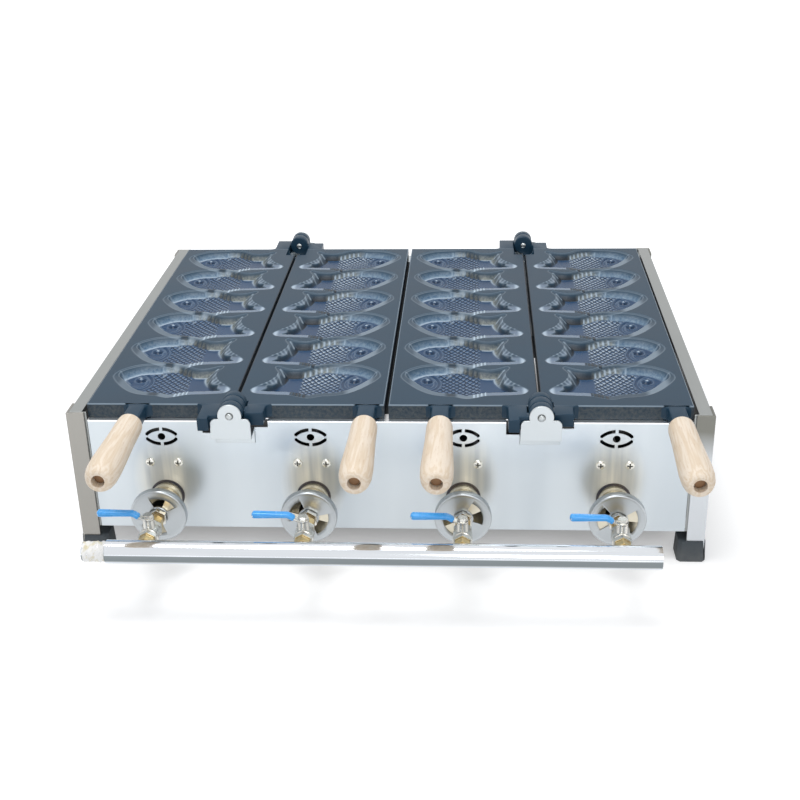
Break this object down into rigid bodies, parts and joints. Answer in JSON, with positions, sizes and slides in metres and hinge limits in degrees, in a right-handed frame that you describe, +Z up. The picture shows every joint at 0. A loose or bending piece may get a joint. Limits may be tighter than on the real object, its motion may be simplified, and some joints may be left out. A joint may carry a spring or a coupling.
{
  "type": "taiyaki maker",
  "caption": "Gas countertop cooker for fish-shaped cakes: hinged mould plates with wooden grips over burners in a steel cabinet, with air shutters, ball valves and a front gas pipe.",
  "frame": {"origin": "middle of the footprint on the floor, under the middle of the part's bounding box", "axes": "+Z up, +Y to the back, +X to the right as seen from the handles"},
  "size_m": [0.759, 0.8012, 0.2147],
  "materials": {
    "sheet_steel": "satin stainless sheet",
    "rail_steel": "satin stainless folded sheet, greyer",
    "burner_steel": "heat-dulled stainless tube",
    "bracket_steel": "brushed thick stainless sheet",
    "coated_casting": "cast aluminium with dark non-stick coating",
    "beech": "sanded pale beech, unvarnished",
    "rubber_foot": "moulded matt rubber",
    "zinc_screw": "bright zinc",
    "pin_steel": "turned bright steel",
    "nickel_plate": "nickel plated brass",
    "shutter_steel": "pressed sheet, satin",
    "brass_part": "turned bare brass",
    "blue_vinyl": "glossy dipped vinyl",
    "chrome_pipe": "polished chrome plate",
    "ptfe_tape": "white thread tape wound on the inlet"
  },
  "bodies": {
    "cabinet": {"side_wall_left": "rail_steel", "side_wall_right": "rail_steel", "front_panel": "sheet_steel", "rear_panel": "sheet_steel", "centre_rail": "rail_steel", "burner_rest": "burner_steel", "leg_front_left": "rail_steel", "leg_front_right": "rail_steel", "leg_rear_left": "rail_steel", "leg_rear_right": "rail_steel", "rubber_feet": "rubber_foot", "burner_screws": "zinc_screw", "hinge_bracket_front_1": "bracket_steel", "hinge_bracket_front_2": "bracket_steel", "hinge_bracket_rear_1": "bracket_steel", "hinge_bracket_rear_2": "bracket_steel", "hinge_pins": "pin_steel", "burner_tube_1": "burner_steel", "burner_tube_2": "burner_steel", "burner_tube_3": "burner_steel", "burner_tube_4": "burner_steel", "mixing_tube_1": "nickel_plate", "mixing_tube_2": "nickel_plate", "mixing_tube_3": "nickel_plate", "mixing_tube_4": "nickel_plate", "shutter_lock_nuts": "nickel_plate", "gas_jets": "brass_part", "valve_body_1": "nickel_plate", "valve_body_2": "nickel_plate", "valve_body_3": "nickel_plate", "valve_body_4": "nickel_plate", "inlet_nuts": "brass_part", "gas_pipe": "chrome_pipe", "pipe_end_cap": "chrome_pipe", "inlet_nipple": "nickel_plate"},
    "plate_1": {"mould_plate_1": "coated_casting", "grip_1": "beech", "handle_rod_1": "pin_steel"},
    "shutter_1": {"air_shutter_1": "shutter_steel"},
    "lever_1": {"valve_lever_1": "nickel_plate", "lever_sleeve_1": "blue_vinyl"},
    "plate_2": {"mould_plate_2": "coated_casting", "grip_2": "beech", "handle_rod_2": "pin_steel"},
    "shutter_2": {"air_shutter_2": "shutter_steel"},
    "lever_2": {"valve_lever_2": "nickel_plate", "lever_sleeve_2": "blue_vinyl"},
    "plate_3": {"mould_plate_3": "coated_casting", "grip_3": "beech", "handle_rod_3": "pin_steel"},
    "shutter_3": {"air_shutter_3": "shutter_steel"},
    "lever_3": {"valve_lever_3": "nickel_plate", "lever_sleeve_3": "blue_vinyl"},
    "plate_4": {"mould_plate_4": "coated_casting", "grip_4": "beech", "handle_rod_4": "pin_steel"},
    "shutter_4": {"air_shutter_4": "shutter_steel"},
    "lever_4": {"valve_lever_4": "nickel_plate", "lever_sleeve_4": "blue_vinyl"}
  },
  "joints": [
    {"name": "plate_1_swing", "type": "hinge", "parent": "cabinet", "child": "plate_1", "pos_m": [-0.178, 0, 0.2007], "axis": [0, 1, 0], "range_deg": [0, 180]},
    {"name": "plate_2_swing", "type": "hinge", "parent": "cabinet", "child": "plate_2", "pos_m": [-0.178, 0, 0.2007], "axis": [0, -1, 0], "range_deg": [0, 180]},
    {"name": "plate_3_swing", "type": "hinge", "parent": "cabinet", "child": "plate_3", "pos_m": [0.178, 0, 0.2007], "axis": [0, 1, 0], "range_deg": [0, 180]},
    {"name": "plate_4_swing", "type": "hinge", "parent": "cabinet", "child": "plate_4", "pos_m": [0.178, 0, 0.2007], "axis": [0, -1, 0], "range_deg": [0, 180]},
    {"name": "shutter_1_turn", "type": "hinge", "parent": "cabinet", "child": "shutter_1", "pos_m": [-0.2665, -0.28635, 0.083], "axis": [0, -1, 0], "range_deg": [-55, 35]},
    {"name": "shutter_2_turn", "type": "hinge", "parent": "cabinet", "child": "shutter_2", "pos_m": [-0.0895, -0.28635, 0.083], "axis": [0, -1, 0], "range_deg": [-30, 60]},
    {"name": "shutter_3_turn", "type": "hinge", "parent": "cabinet", "child": "shutter_3", "pos_m": [0.0895, -0.28635, 0.083], "axis": [0, -1, 0], "range_deg": [-38, 52]},
    {"name": "shutter_4_turn", "type": "hinge", "parent": "cabinet", "child": "shutter_4", "pos_m": [0.2665, -0.28635, 0.083], "axis": [0, -1, 0], "range_deg": [-41, 49]},
    {"name": "lever_1_turn", "type": "hinge", "parent": "cabinet", "child": "lever_1", "pos_m": [-0.2665, -0.32625, 0.1033], "axis": [0, 0, 1], "range_deg": [0, 90]},
    {"name": "lever_2_turn", "type": "hinge", "parent": "cabinet", "child": "lever_2", "pos_m": [-0.0895, -0.32625, 0.1033], "axis": [0, 0, 1], "range_deg": [0, 90]},
    {"name": "lever_3_turn", "type": "hinge", "parent": "cabinet", "child": "lever_3", "pos_m": [0.0895, -0.32625, 0.1033], "axis": [0, 0, 1], "range_deg": [0, 90]},
    {"name": "lever_4_turn", "type": "hinge", "parent": "cabinet", "child": "lever_4", "pos_m": [0.2665, -0.32625, 0.1033], "axis": [0, 0, 1], "range_deg": [0, 90]}
  ]
}
